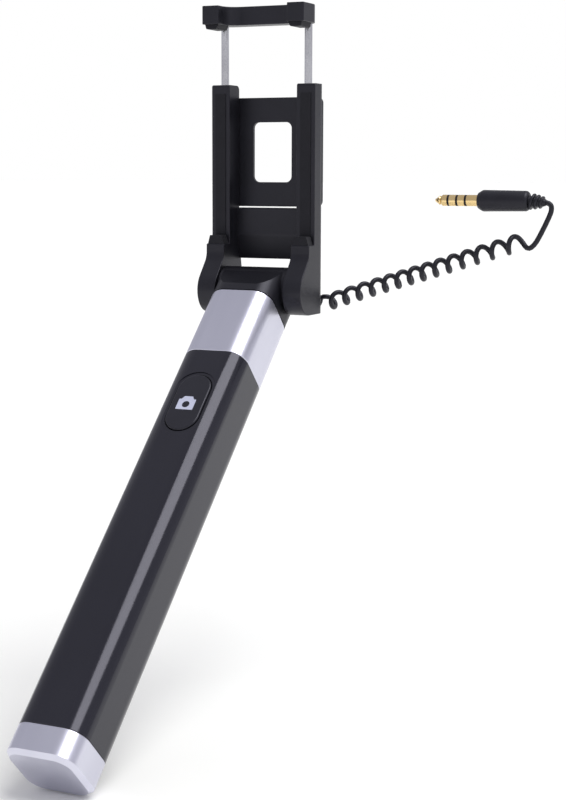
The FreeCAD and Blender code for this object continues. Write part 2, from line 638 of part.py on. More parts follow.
def clamp_body():
    """Lower jaw: two ears that rise into legs behind the phone, tied by a web."""
    side = [(EAR_LIP, EAR_TOP, PAD_CORNER), (EAR_THROAT, THROAT_HEIGHT, NECK_RADIUS),
            (EAR_BOTTOM, NOSE_RISE, NOSE_RADIUS), (EAR_BOTTOM, EAR_BOTTOM, NOSE_RADIUS),
            (EAR_BACK, EAR_BOTTOM, EAR_HEEL_RADIUS), (EAR_BACK, HEEL_TOP, BEND_RADIUS),
            (LEG_BACK, WAIST, BEND_RADIUS),
            (LEG_BACK, LEG_TOP, LEG_TOP_BACK), (LEG_FRONT, LEG_TOP, LEG_TOP_FRONT),
            (LEG_FRONT, EAR_TOP, REST_STRIP)]
    ear = side_profile(side, EAR_INNER, EAR_OUTER)
    ear = ear.makeFillet(EDGE_ROUND, edges_at_x(ear, EAR_INNER, EAR_OUTER))
    web_back = LEG_BACK + PLATE_THICKNESS
    web_front = LEG_BACK - WEB_THICKNESS
    web = side_profile([(web_back - 1.3, WEB_FOOT, 0.3), (web_back, WEB_FOOT, 0.3), (LEG_BACK, WAIST, 4.0),
                        (LEG_BACK, WEB_TOP, 0.5), (web_front, WEB_TOP, 0.5), (web_front, WAIST + 1, 4.0)],
                       -EAR_INNER - 0.5, EAR_INNER + 0.5)
    body = joined(mirrored_pair(ear) + [web])
    plan = plan_profile([(-EAR_OUTER, -20, 0), (EAR_OUTER, -20, 0), (EAR_OUTER, EAR_BACK, EAR_PLAN_RADIUS),
                         (-EAR_OUTER, EAR_BACK, EAR_PLAN_RADIUS)], EAR_BOTTOM - 1, LEG_TOP + 1)
    body = body.common(plan)
    for x in rod_places():
        body = body.cut(rod_z(x, ROD_BACK, SPRING_BORE / 2, SPRING_WELL, SPRING_SEAT))
        body = body.cut(rod_z(x, ROD_BACK, ROD_DIAMETER / 2 + RUNNING_FIT, SPRING_SEAT - 1, LEG_TOP + 1))
    body = body.cut(rod_x(0, 0, PIN_DIAMETER / 2, -PIN_REACH, PIN_REACH))
    body = body.cut(rod_x(0, 0, CAP_DISC_DIAMETER / 2, -EAR_OUTER - 1, -PIN_REACH + PIN_HEAD_LENGTH))
    body = body.cut(rod_x(0, 0, CAP_DISC_DIAMETER / 2, PIN_REACH - NUT_LENGTH, EAR_OUTER + 1))
    for x, z in back_screw_places():
        body = body.cut(rod_y(x, z, SCREW_RADIUS, LEG_BACK - SCREW_DEPTH, LEG_BACK + 1))
    return body.cut(grommet_bore())


def grommet_bore():
    """Blind hole for the cord's grommet in the back of one ear."""
    exit_point = LEAD_OUT[0]
    return rod_y(exit_point[0], exit_point[2], GROMMET_RADIUS, EAR_BACK - GROMMET_DEPTH, EAR_BACK + 1)


def cord_grommet():
    """Ringed strain relief where the cord leaves the clamp."""
    x, y_end, z = LEAD_OUT[0]
    sleeve = rod_y(x, z, GROMMET_RADIUS, EAR_BACK - GROMMET_DEPTH, y_end)
    sleeve = sleeve.makeFillet(GROMMET_ROUND, edges_at_y(sleeve, y_end))
    return sleeve.cut(rod_y(x, z, CORD_DIAMETER / 2, y_end - CORD_SOCKET, y_end + 1))


def back_screw_places():
    """X and Z places of the four screws in the back plate."""
    places = []
    for z in (SCREW_LOW, LEG_TOP - SCREW_DROP):
        for x in (-EAR_INNER - SCREW_INSET, EAR_INNER + SCREW_INSET):
            places.append((x, z))
    return places


def back_plate():
    """Thin plate across the two legs, with a long window that the folded stick shows through."""
    half = EAR_OUTER - PLATE_MARGIN
    high = LEG_TOP - PLATE_DROP
    plate = front_profile([(-half, PLATE_FOOT, PLATE_CORNER), (half, PLATE_FOOT, PLATE_CORNER),
                           (half, high, PLATE_CORNER), (-half, high, PLATE_CORNER)],
                          LEG_BACK, LEG_BACK + PLATE_THICKNESS)
    sill, lintel = PLATE_FOOT + WINDOW_INSET, high - WINDOW_INSET
    window = front_profile([(-WINDOW_HALF, sill, PLATE_CORNER), (WINDOW_HALF, sill, PLATE_CORNER),
                            (WINDOW_HALF, lintel, PLATE_CORNER), (-WINDOW_HALF, lintel, PLATE_CORNER)],
                           LEG_BACK - 1, LEG_BACK + PLATE_THICKNESS + 1)
    plate = plate.cut(window)
    for x, z in back_screw_places():
        plate = plate.cut(rod_y(x, z, SCREW_RADIUS, LEG_BACK - 1, LEG_BACK + PLATE_THICKNESS + 1))
    return plate


def plate_screws():
    """Four pan-head screws that hold the back plate."""
    screws = []
    plate_face = LEG_BACK + PLATE_THICKNESS
    head_face = plate_face + SCREW_HEAD_HEIGHT
    reach = SCREW_HEAD_RADIUS - 0.5
    for x, z in back_screw_places():
        head = rod_y(x, z, SCREW_HEAD_RADIUS, plate_face, head_face)
        shank = rod_y(x, z, SCREW_RADIUS, LEG_BACK - SCREW_DEPTH, plate_face)
        screw = joined([head, shank])
        for half_x, half_z in ((SLOT_HALF_WIDTH, reach), (reach, SLOT_HALF_WIDTH)):
            screw = screw.cut(block(x - half_x, x + half_x, head_face - SLOT_DEPTH, head_face + 1,
                                    z - half_z, z + half_z))
        screws.append(screw)
    return Part.makeCompound(screws)


def lower_pads():
    """Tapered soft pads on the ears that the phone's lower edge stands on."""
    outline = [(EAR_MIDDLE - PAD_OUTER, EAR_TOP, 0), (EAR_MIDDLE + PAD_INNER, EAR_TOP, 0),
               (EAR_MIDDLE + PAD_HEAD, LOWER_PAD_TOP, PAD_CORNER),
               (EAR_MIDDLE - PAD_HEAD, LOWER_PAD_TOP, PAD_CORNER)]
    return Part.makeCompound(mirrored_pair(front_profile(outline, PAD_FRONT, LEG_FRONT - REST_STRIP)))


def rest_strips():
    """Soft strips on the legs that touch the phone's back."""
    strip = block(EAR_MIDDLE - STRIP_HALF, EAR_MIDDLE + STRIP_HALF, LEG_FRONT - REST_STRIP, LEG_FRONT,
                  LOWER_PAD_TOP, LEG_TOP - STRIP_DROP)
    return Part.makeCompound(mirrored_pair(strip))


def upper_jaw():
    """Sliding jaw: two blocks that stand forward of a hollowed bridge."""
    half = JAW_WIDTH / 2
    outline = [(-half, JAW_FRONT, JAW_FRONT_CORNER), (-EAR_INNER, JAW_FRONT, JAW_FRONT_CORNER),
               (-EAR_INNER, JAW_RECESS, JAW_INNER_RADIUS), (EAR_INNER, JAW_RECESS, JAW_INNER_RADIUS),
               (EAR_INNER, JAW_FRONT, JAW_FRONT_CORNER), (half, JAW_FRONT, JAW_FRONT_CORNER),
               (half, JAW_BACK, JAW_BACK_RADIUS), (-half, JAW_BACK, JAW_BACK_RADIUS)]
    jaw = plan_profile(outline, JAW_BASE, JAW_TOP)
    jaw = jaw.makeFillet(EDGE_ROUND, edges_at_z(jaw, JAW_TOP) + edges_at_z(jaw, JAW_BASE))
    for x in rod_places():
        jaw = jaw.cut(rod_z(x, ROD_BACK, ROD_DIAMETER / 2, JAW_BASE - 1, ROD_HEAD))
    return jaw


def upper_pads():
    """Tapered soft pads under the upper jaw's blocks."""
    middle = (EAR_INNER + JAW_WIDTH / 2) / 2
    outline = [(middle - UPPER_PAD_OUTER[0], JAW_BASE, 0),
               (middle - UPPER_PAD_OUTER[1], UPPER_PAD_BASE, PAD_CORNER),
               (middle + UPPER_PAD_INNER[1], UPPER_PAD_BASE, PAD_CORNER),
               (middle + UPPER_PAD_INNER[0], JAW_BASE, 0)]
    pad = front_profile(outline, JAW_FRONT + UPPER_PAD_INSET, LEG_FRONT)
    return Part.makeCompound(mirrored_pair(pad))


def guide_rods():
    """Steel rods, each with a stop washer turned on its foot."""
    rods = []
    for x in rod_places():
        rod = rod_z(x, ROD_BACK, ROD_DIAMETER / 2, ROD_FOOT, ROD_HEAD)
        stop = rod_z(x, ROD_BACK, SPRING_BORE / 2 - RUNNING_FIT, ROD_FOOT, ROD_FOOT + STOP_LENGTH)
        rods.append(joined([rod, stop]))
    return Part.makeCompound(rods)


def jaw_springs():
    """Coil springs round the rods, drawn as the sleeves they fill."""
    springs = []
    inner = SPRING_DIAMETER / 2 - SPRING_WIRE
    for x in rod_places():
        sleeve = rod_z(x, ROD_BACK, SPRING_DIAMETER / 2, ROD_FOOT + STOP_LENGTH, SPRING_SEAT)
        springs.append(sleeve.cut(rod_z(x, ROD_BACK, inner, ROD_FOOT, SPRING_SEAT + 1)))
    return Part.makeCompound(springs)


# ---- plug -----------------------------------------------------------------------------------
def plug_body():
    """Moulded plug grip with a coned nose."""
    nose = Part.makeCone(CONTACT_DIAMETER / 2 + NOSE_RIM, PLUG_DIAMETER / 2, NOSE_CONE, PLUG_NOSE, X_AXIS)
    grip = Part.makeCone(PLUG_DIAMETER / 2, PLUG_TAIL_DIAMETER / 2, PLUG_LENGTH - NOSE_CONE,
                         PLUG_NOSE + Vector(NOSE_CONE, 0, 0), X_AXIS)
    return joined([nose, grip])


def plug_relief():
    """Ribbed, tapering strain relief behind the grip."""
    start = PLUG_NOSE + Vector(PLUG_LENGTH, 0, 0)
    pieces = [Part.makeCone(RELIEF_RADII[0], RELIEF_RADII[1], RELIEF_LENGTH, start, X_AXIS)]
    for rib in range(RIBS):
        place = start + Vector(RIB_START + RIB_PITCH * rib, 0, 0)
        pieces.append(Part.makeCylinder(RIB_RADIUS - RIB_TAPER * rib, RIB_LENGTH, place, X_AXIS))
    return joined(pieces)


def plug_contact():
    """Four-pole contact pin with its waisted tip."""
    tip = PLUG_NOSE - Vector(CONTACT_LENGTH, 0, 0)
    radius = CONTACT_DIAMETER / 2
    waist_back, waist_front = TIP_WAIST
    backwards = Vector(-1, 0, 0)
    pin = Part.makeCylinder(radius, CONTACT_LENGTH - waist_back, tip + Vector(waist_back, 0, 0), X_AXIS)
    neck = Part.makeCone(radius, radius - WAIST_DEPTH, waist_back - waist_front,
                         tip + Vector(waist_back, 0, 0), backwards)
    point = Part.makeCone(radius - TIP_DEPTH, TIP_POINT, waist_front,
                          tip + Vector(waist_front, 0, 0), backwards)
    return joined([pin, neck, point])


# ---- what is made ---------------------------------------------------------------------------
def handle_pieces():
    """Pieces drawn in the stick's own frame."""
    pieces = {
        "grip_shell": grip_shell(),
        "top_collar": top_collar(),
        "end_cap": end_cap(),
        "upper_tube_holder": tube_holder(-UPPER_HOLDER_BASE, -COLLAR_TOP - SHELL_WALL),
        "lower_tube_holder": tube_holder(-TUBE_FOOT, -TUBE_FOOT + HOLDER_LENGTH),
        "tube_plug": tube_plug(),
        "stick_lead": stick_lead(),
        "shutter_button": shutter_button(),
        "camera_mark": camera_mark(),
        "switch_board": switch_board(),
        "dome_switch": dome_switch(),
        "board_wire": board_wire(),
        "knuckle": knuckle(),
    }
    for stage in range(STAGES + 1):
        pieces["outer_tube" if stage == 0 else "tube_%d" % stage] = stage_tube(stage)
    for stage in range(STAGES):
        pieces["guide_ring_%d" % (stage + 1)] = guide_ring(stage)
        pieces["slide_bush_%d" % (stage + 1)] = slide_bush(stage + 1)
    return pieces


def clamp_pieces():
    """Pieces drawn upright round the hinge."""
    return {
        "hinge_pin": hinge_pin(),
        "hinge_nut": hinge_nut(),
        "hinge_caps": hinge_caps(),
        "friction_washers": friction_washers(),
        "clamp_body": clamp_body(),
        "back_plate": back_plate(),
        "plate_screws": plate_screws(),
        "lower_pads": lower_pads(),
        "rest_strips": rest_strips(),
        "upper_jaw": upper_jaw(),
        "upper_pads": upper_pads(),
        "guide_rods": guide_rods(),
        "jaw_springs": jaw_springs(),
        "cord_grommet": cord_grommet(),
        "cord_lead": cord_tube("cord_lead", LEAD_OUT, CORD_DIAMETER),
        "curly_cord": cord_tube("curly_cord", COIL_ROUTE, COIL_DIAMETER),
        "cord_tail": cord_tube("cord_tail", TAIL_ROUTE, CORD_DIAMETER),
        "plug_body": plug_body(),
        "plug_relief": plug_relief(),
        "plug_contact": plug_contact(),
    }


def main():
    """Place every piece and write one file for each."""
    os.makedirs("parts", exist_ok=True)
    placed = {}
    for name, shape in handle_pieces().items():
        leaned = shape.copy()
        leaned.rotate(Vector(0, 0, 0), X_AXIS, -LEAN)
        leaned.translate(HINGE)
        placed[name] = leaned
    for name, shape in clamp_pieces().items():
        moved = shape.copy()
        moved.translate(HINGE)
        placed[name] = moved
    for name, shape in placed.items():
        shape.exportStep("parts/%s.step" % name)
    print("hinge", HINGE, "pieces", len(placed))


main()
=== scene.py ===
"""Wired selfie stick: finishes, cord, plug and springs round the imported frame, in metres."""
import json
import logging
import math
from dataclasses import dataclass
from enum import Enum

import bmesh
import bpy
from mathutils import Matrix, Vector


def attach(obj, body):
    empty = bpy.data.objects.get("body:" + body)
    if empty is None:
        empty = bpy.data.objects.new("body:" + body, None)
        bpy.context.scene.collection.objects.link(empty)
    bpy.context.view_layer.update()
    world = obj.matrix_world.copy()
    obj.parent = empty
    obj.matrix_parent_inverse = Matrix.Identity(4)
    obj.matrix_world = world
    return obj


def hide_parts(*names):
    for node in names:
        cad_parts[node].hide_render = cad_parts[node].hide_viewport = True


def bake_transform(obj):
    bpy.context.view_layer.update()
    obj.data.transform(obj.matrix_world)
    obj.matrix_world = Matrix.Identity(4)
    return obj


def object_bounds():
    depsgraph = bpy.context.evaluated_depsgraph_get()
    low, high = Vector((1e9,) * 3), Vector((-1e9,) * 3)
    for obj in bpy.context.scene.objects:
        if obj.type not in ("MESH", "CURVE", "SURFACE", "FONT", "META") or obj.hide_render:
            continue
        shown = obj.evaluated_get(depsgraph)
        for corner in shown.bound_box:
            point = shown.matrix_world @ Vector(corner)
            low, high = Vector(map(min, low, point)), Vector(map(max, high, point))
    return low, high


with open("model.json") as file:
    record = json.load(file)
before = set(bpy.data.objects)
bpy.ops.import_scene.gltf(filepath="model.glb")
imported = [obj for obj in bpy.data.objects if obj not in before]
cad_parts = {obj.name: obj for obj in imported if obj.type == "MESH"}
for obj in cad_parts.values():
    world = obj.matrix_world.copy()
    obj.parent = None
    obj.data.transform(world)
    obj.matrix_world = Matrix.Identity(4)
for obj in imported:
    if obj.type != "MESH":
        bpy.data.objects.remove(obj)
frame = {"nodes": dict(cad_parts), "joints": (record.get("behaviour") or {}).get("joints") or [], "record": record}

CAD_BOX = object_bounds()
LOG = logging.getLogger("selfie_stick")
MM = 0.001
JOINTS = {joint["name"]: joint for joint in frame["joints"]}
HINGE = Vector(JOINTS["head_tilt"]["pos_m"])
STICK_AXIS = Vector(JOINTS["tube_slide_1"]["axis"]).normalized()
LEAN = math.atan2(STICK_AXIS.y, STICK_AXIS.z)
X_AXIS = Vector((1.0, 0.0, 0.0))
Z_AXIS = Vector((0.0, 0.0, 1.0))
WHITE = (1.0, 1.0, 1.0, 1.0)
Point = tuple[float, float, float]
Socket = bpy.types.NodeSocket

NOISE_ROUGHNESS = 0.55
NOISE_LOW, NOISE_HIGH = 0.25, 0.75
TONE_START, TONE_END = 0.3, 0.7
BUMP_STRENGTH = 0.6
CRISP_ANGLE = math.radians(35)
MERGE_DISTANCE = 1e-7
ROUTE_STEPS = 32
# Sockets of a mix node, which carries one set for each kind of data
NUMBER_A, NUMBER_B, NUMBER_OUT = 2, 3, 0
COLOUR_A, COLOUR_B, COLOUR_OUT = 6, 7, 2


def from_hinge(x: float, y: float, z: float) -> Vector:
    """Point given in millimetres from the hinge, in the row frame.

    Args:
        x: millimetres along +X.
        y: millimetres along +Y.
        z: millimetres along +Z.

    Returns:
        The point in metres.
    """
    return HINGE + Vector((x, y, z)) * MM


# ---- finishes -------------------------------------------------------------------------------
@dataclass(frozen=True)
class Layer:
    """One layer of noise: cells per metre, octaves, stretch, and whether it leans as the stick."""

    cells: float
    detail: float
    stretch: Point = (1.0, 1.0, 1.0)
    leaning: bool = False


@dataclass(frozen=True)
class Pattern:
    """A broad layer for the tone, a fine one for the gloss, and the height of the relief."""

    broad: Layer
    fine: Layer
    relief: float
    raised_by_broad: bool = False


class Grain(Enum):
    """How a surface is worked."""

    MOULDED = Pattern(Layer(110.0, 3.0), Layer(4200.0, 4.0), 0.00003)
    POLISHED = Pattern(Layer(45.0, 3.0, (1.0, 1.0, 0.5), True), Layer(900.0, 2.0), 0.0000035)
    BRUSHED = Pattern(Layer(60.0, 2.0, (1.0, 1.0, 0.25), True),
                      Layer(5200.0, 3.0, (1.0, 1.0, 0.012), True), 0.000006)
    TURNED = Pattern(Layer(90.0, 2.0, leaning=True),
                     Layer(3500.0, 3.0, (0.02, 0.02, 1.0), True), 0.000004)
    RUBBER = Pattern(Layer(260.0, 4.0), Layer(5000.0, 5.0), 0.00002)
    BOARD = Pattern(Layer(300.0, 0.0, (6.0, 1.0, 0.3), True),
                    Layer(2500.0, 2.0, leaning=True), 0.00002, raised_by_broad=True)


class Tree:
    """Small builder of shader nodes for one material."""

    def __init__(self, name: str) -> None:
        """Start a material of that name with an empty Principled shader.

        Args:
            name: name of the material.
        """
        self.material = bpy.data.materials.new(name)
        self.material.use_nodes = True
        self.nodes = self.material.node_tree.nodes
        self.links = self.material.node_tree.links
        self.shader = next(n for n in self.nodes if n.type == "BSDF_PRINCIPLED")
        self.coordinates = self.nodes.new("ShaderNodeTexCoord").outputs["Object"]

    def noise(self, layer: Layer) -> Socket:
        """Noise over the object's coordinates, turned with the stick where asked, then stretched.

        Args:
            layer: the layer of noise.

        Returns:
            The factor socket.
        """
        turn = self.nodes.new("ShaderNodeMapping")
        turn.inputs["Rotation"].default_value = (LEAN if layer.leaning else 0.0, 0.0, 0.0)
        stretch = self.nodes.new("ShaderNodeMapping")
        stretch.inputs["Scale"].default_value = layer.stretch
        node = self.nodes.new("ShaderNodeTexNoise")
        node.inputs["Scale"].default_value = layer.cells
        node.inputs["Detail"].default_value = layer.detail
        node.inputs["Roughness"].default_value = NOISE_ROUGHNESS
        self.links.new(self.coordinates, turn.inputs["Vector"])
        self.links.new(turn.outputs["Vector"], stretch.inputs["Vector"])
        self.links.new(stretch.outputs["Vector"], node.inputs["Vector"])
        return node.outputs["Fac"]

    def ramp(self, factor: Socket, low: Point, high: Point) -> Socket:
        """Colour between two tones.

        Args:
            factor: driving socket.
            low: linear colour where the factor is small.
            high: linear colour where it is large.

        Returns:
            The colour socket.
        """
        node = self.nodes.new("ShaderNodeValToRGB")
        first, last = node.color_ramp.elements
        first.position, last.position = TONE_START, TONE_END
        first.color, last.color = (*low, 1.0), (*high, 1.0)
        self.links.new(factor, node.inputs["Fac"])
        return node.outputs["Color"]

    def spread(self, factor: Socket, low: float, high: float) -> Socket:
        """Usual span of the noise mapped to a range.

        Args:
            factor: driving socket.
            low: value at the span's low end.
            high: value at its high end.

        Returns:
            The value socket.
        """
        node = self.nodes.new("ShaderNodeMapRange")
        node.inputs["From Min"].default_value = NOISE_LOW
        node.inputs["From Max"].default_value = NOISE_HIGH
        node.inputs["To Min"].default_value = low
        node.inputs["To Max"].default_value = high
        self.links.new(factor, node.inputs["Value"])
        return node.outputs["Result"]

    def bump(self, height: Socket, distance: float) -> None:
        """Give the shader a bump.

        Args:
            height: height socket.
            distance: height in metres.
        """
        node = self.nodes.new("ShaderNodeBump")
        node.inputs["Distance"].default_value = distance
        node.inputs["Strength"].default_value = BUMP_STRENGTH
        self.links.new(height, node.inputs["Height"])
        self.links.new(node.outputs["Normal"], self.shader.inputs["Normal"])


@dataclass(frozen=True)
class Finish:
    """One finish, under its slot's name: two linear tones, a span of roughness and a grain."""

    slot: str
    dark: Point
    light: Point
    rough: tuple[float, float]
    grain: Grain
    metallic: float = 0.0
    coat: float = 0.0
    coat_rough: float = 0.1
    sheen: float = 0.0
    specular: float = 0.5
    tint: Point = (0.88, 0.87, 1.0)

    def material(self) -> bpy.types.Material:
        """Build the node material.

        Returns:
            The material, named after its slot.
        """
        tree = Tree(self.slot)
        inputs = tree.shader.inputs
        inputs["Metallic"].default_value = self.metallic
        inputs["Coat Weight"].default_value = self.coat
        inputs["Coat Roughness"].default_value = self.coat_rough
        inputs["Sheen Weight"].default_value = self.sheen
        inputs["Specular IOR Level"].default_value = self.specular
        inputs["Specular Tint"].default_value = WHITE if self.metallic else (*self.tint, 1.0)
        pattern = self.grain.value
        broad, fine = tree.noise(pattern.broad), tree.noise(pattern.fine)
        tree.links.new(tree.ramp(broad, self.dark, self.light), inputs["Base Color"])
        tree.links.new(tree.spread(fine, *self.rough), inputs["Roughness"])
        tree.bump(broad if pattern.raised_by_broad else fine, pattern.relief)
        return tree.material


FINISHES = (
    Finish("gloss_black_shell", (0.0095, 0.0095, 0.0140), (0.0125, 0.0125, 0.0180), (0.13, 0.20),
           Grain.POLISHED, coat=0.05, specular=0.46),
    Finish("satin_aluminium", (0.62, 0.62, 0.72), (0.70, 0.70, 0.80), (0.30, 0.38),
           Grain.BRUSHED, metallic=1.0),
    Finish("matte_black_plastic", (0.0060, 0.0060, 0.0082), (0.0085, 0.0085, 0.0118), (0.34, 0.46),
           Grain.MOULDED, specular=0.42),
    Finish("button_plastic", (0.0095, 0.0095, 0.0130), (0.0120, 0.0120, 0.0165), (0.28, 0.38),
           Grain.MOULDED, specular=0.45),
    Finish("pale_inlay", (0.47, 0.49, 0.62), (0.53, 0.55, 0.68), (0.40, 0.50), Grain.MOULDED),
    Finish("bright_steel", (0.60, 0.60, 0.62), (0.72, 0.72, 0.74), (0.16, 0.26),
           Grain.TURNED, metallic=1.0),
    Finish("tube_steel", (0.55, 0.55, 0.58), (0.64, 0.64, 0.67), (0.20, 0.30),
           Grain.BRUSHED, metallic=1.0),
    Finish("bush_plastic", (0.60, 0.59, 0.54), (0.68, 0.67, 0.62), (0.38, 0.50), Grain.MOULDED),
    Finish("board_green", (0.010, 0.080, 0.035), (0.030, 0.140, 0.060), (0.25, 0.35),
           Grain.BOARD, coat=0.4),
    Finish("pad_rubber", (0.0060, 0.0060, 0.0075), (0.0085, 0.0085, 0.0105), (0.55, 0.70),
           Grain.RUBBER, sheen=0.03, specular=0.3),
    Finish("cord_rubber", (0.0055, 0.0055, 0.0080), (0.0080, 0.0080, 0.0115), (0.36, 0.48),
           Grain.RUBBER, sheen=0.02, specular=0.4),
    Finish("gold_contact", (0.78, 0.55, 0.24), (0.90, 0.68, 0.34), (0.14, 0.22),
           Grain.TURNED, metallic=1.0),
)


class Workshop:
    """Holds the finishes and turns meshes into finished pieces."""

    def __init__(self) -> None:
        """Build each finish once."""
        self.materials = {finish.slot: finish.material() for finish in FINISHES}

    def dress_frame(self) -> None:
        """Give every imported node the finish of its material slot."""
        for row in frame["record"]["subparts"]:
            mesh = frame["nodes"][row["node"]].data
            mesh.materials.clear()
            mesh.materials.append(self.materials[row["material_slot"]])

    def finish_piece(self, piece: bpy.types.Object, slot: str, body: str,
                     *nodes: str) -> bpy.types.Object:
        """Give a piece its finish, body and slot, and let it stand for its nodes.

        Args:
            piece: the new object.
            slot: material slot's name.
            body: name of the body that it rides on.
            nodes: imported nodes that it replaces.

        Returns:
            The same object.
        """
        piece.data.materials.append(self.materials[slot])
        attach(piece, body)
        if nodes:
            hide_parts(*nodes)
        LOG.info("piece %s on %s", piece.name, body)
        return piece

    def from_bmesh(self, name: str, shape: bmesh.types.BMesh) -> bpy.types.Object:
        """Object from a bmesh, with smooth faces and crisp edges.

        Args:
            name: name of the piece.
            shape: the mesh, which is freed.

        Returns:
            The new object, at the origin.
        """
        bmesh.ops.recalc_face_normals(shape, faces=shape.faces)
        mesh = bpy.data.meshes.new(name)
        shape.to_mesh(mesh)
        shape.free()
        mesh.shade_smooth()
        mesh.set_sharp_from_angle(angle=CRISP_ANGLE)
        return placed(name, mesh)


# ---- shapes ---------------------------------------------------------------------------------
def placed(name: str, data: bpy.types.ID) -> bpy.types.Object:
    """Object of some data, in the scene.

    Args:
        name: name of the object.
        data: its mesh, curve, light or camera.

    Returns:
        The new object.
    """
    piece = bpy.data.objects.new(name, data)
    bpy.context.scene.collection.objects.link(piece)
    return piece


def closed(steps: list[tuple[float, float]]) -> list[tuple[float, float]]:
    """Profile brought in to the axis at both ends.

    Args:
        steps: stations along the axis and radii, in metres.

    Returns:
        The steps with an end on the axis before and after them.
    """
    return [(steps[0][0], 0.0), *steps, (steps[-1][0], 0.0)]


def turned(profile: list[tuple[float, float]], start: Vector, direction: Vector,
           facets: int) -> bmesh.types.BMesh:
    """Solid of revolution from a profile of (along, radius) steps.

    Args:
        profile: stations along the axis and radii, in metres.
        start: point on the axis where along is zero.
        direction: unit vector of the axis.
        facets: faces round the axis.

    Returns:
        The new bmesh.
    """
    shape = bmesh.new()
    side = direction.orthogonal().normalized()
    row = [shape.verts.new(start + direction * along + side * radius) for along, radius in profile]
    for before, after in zip(row, row[1:]):
        shape.edges.new((before, after))
    bmesh.ops.spin(shape, geom=shape.verts[:] + shape.edges[:], cent=start, axis=direction,
                   angle=math.tau, steps=facets, use_merge=True)
    bmesh.ops.remove_doubles(shape, verts=shape.verts, dist=MERGE_DISTANCE)
    bmesh.ops.recalc_face_normals(shape, faces=shape.faces)
    return shape


def round_edges(shape: bmesh.types.BMesh, width: float, segments: int, degrees: float) -> None:
    """Bevel the edges that turn by more than an angle.

    Args:
        shape: the bmesh.
        width: width of the bevel, in metres.
        segments: steps across it.
        degrees: least turn.
    """
    least = math.radians(degrees)
    sharp = [e for e in shape.edges if e.is_manifold and e.calc_face_angle(0.0) > least]
    bmesh.ops.bevel(shape, geom=sharp, offset=width, offset_type="OFFSET", segments=segments,
                    profile=0.5, affect="EDGES", clamp_overlap=True, material=-1)


def take_in(whole: bmesh.types.BMesh, part: bmesh.types.BMesh) -> None:
    """Add one bmesh to another.

    Args:
        whole: the bmesh that grows.
        part: the bmesh that is added and freed.
    """
    carrier = bpy.data.meshes.new("part")
    part.to_mesh(carrier)
    part.free()
    whole.from_mesh(carrier)
    bpy.data.meshes.remove(carrier)


def nurbs_curve(name: str, points: list[Vector], resolution: int) -> bpy.types.Object:
    """Curve object of one open NURBS spline.

    Args:
        name: name of the object.
        points: control points.
        resolution: steps between control points.

    Returns:
        The object, linked to the scene.
    """
    curve = bpy.data.curves.new(name, "CURVE")
    curve.dimensions = "3D"
    curve.resolution_u = resolution
    spline = curve.splines.new("NURBS")
    spline.points.add(len(points) - 1)
    for slot, point in zip(spline.points, points):
        slot.co = (*point, 1.0)
    spline.order_u = 3
    spline.use_endpoint_u = True
    return placed(name, curve)


def round_wire(name: str, points: list[Vector], resolution: int, thickness: float,
               roundness: int) -> bpy.types.Object:
    """Curve object of a round wire with closed ends.

    Args:
        name: name of the object.
        points: control points.
        resolution: steps between control points.
        thickness: diameter of the wire.
        roundness: steps across a quarter of its section.

    Returns:
        The object, linked to the scene.
    """
    piece = nurbs_curve(name, points, resolution)
    piece.data.bevel_depth = thickness / 2
    piece.data.bevel_resolution = roundness
    piece.data.use_fill_caps = True
    return piece


def meshed(piece: bpy.types.Object) -> bpy.types.Mesh:
    """Mesh of a curve object, which is removed.

    Args:
        piece: the curve object.

    Returns:
        The new mesh.
    """
    mesh = bpy.data.meshes.new_from_object(piece)
    curve = piece.data
    bpy.data.objects.remove(piece)
    bpy.data.curves.remove(curve)
    return mesh


def route_line(points: list[Vector]) -> list[Vector]:
    """Trace the smooth line that a route's control points steer.

    Args:
        points: control points.

    Returns:
        Points along their NURBS spline.
    """
    mesh = meshed(nurbs_curve("route", points, ROUTE_STEPS))
    line = [vertex.co.copy() for vertex in mesh.vertices]
    bpy.data.meshes.remove(mesh)
    return line


def line_length(line: list[Vector]) -> float:
    """Length of a polyline.

    Args:
        line: its points.

    Returns:
        The length in metres.
    """
    return sum((after - before).length for before, after in zip(line, line[1:]))


class Winder:
    """Winds a helix round a line."""

    def __init__(self, line: list[Vector], first_normal: Vector) -> None:
        """Carry a frame along the line without twist.

        Args:
            line: points along the line.
            first_normal: rough direction from which the turns are counted.
        """
        self.line = line
        self.stations = [0.0]
        for before, after in zip(line, line[1:]):
            self.stations.append(self.stations[-1] + (after - before).length)
        self.length = self.stations[-1]
        self.normals: list[Vector] = []
        self.tangents: list[Vector] = []
        normal = first_normal
        for index in range(len(line)):
            low, high = max(index - 1, 0), min(index + 1, len(line) - 1)
            tangent = (line[high] - line[low]).normalized()
            normal = (normal - tangent * normal.dot(tangent)).normalized()
            self.tangents.append(tangent)
            self.normals.append(normal)

    def at(self, station: float) -> tuple[Vector, Vector, Vector]:
        """Point and the two cross directions at a station.

        Args:
            station: distance along the line.

        Returns:
            The point, the normal and the other cross direction.
        """
        station = min(max(station, 0.0), self.length)
        index = 0
        while index < len(self.stations) - 2 and self.stations[index + 1] < station:
            index += 1
        span = self.stations[index + 1] - self.stations[index]
        share = (station - self.stations[index]) / span if span else 0.0
        point = self.line[index].lerp(self.line[index + 1], share)
        normal = self.normals[index].lerp(self.normals[index + 1], share).normalized()
        tangent = self.tangents[index].lerp(self.tangents[index + 1], share).normalized()
        return point, normal, tangent.cross(normal)


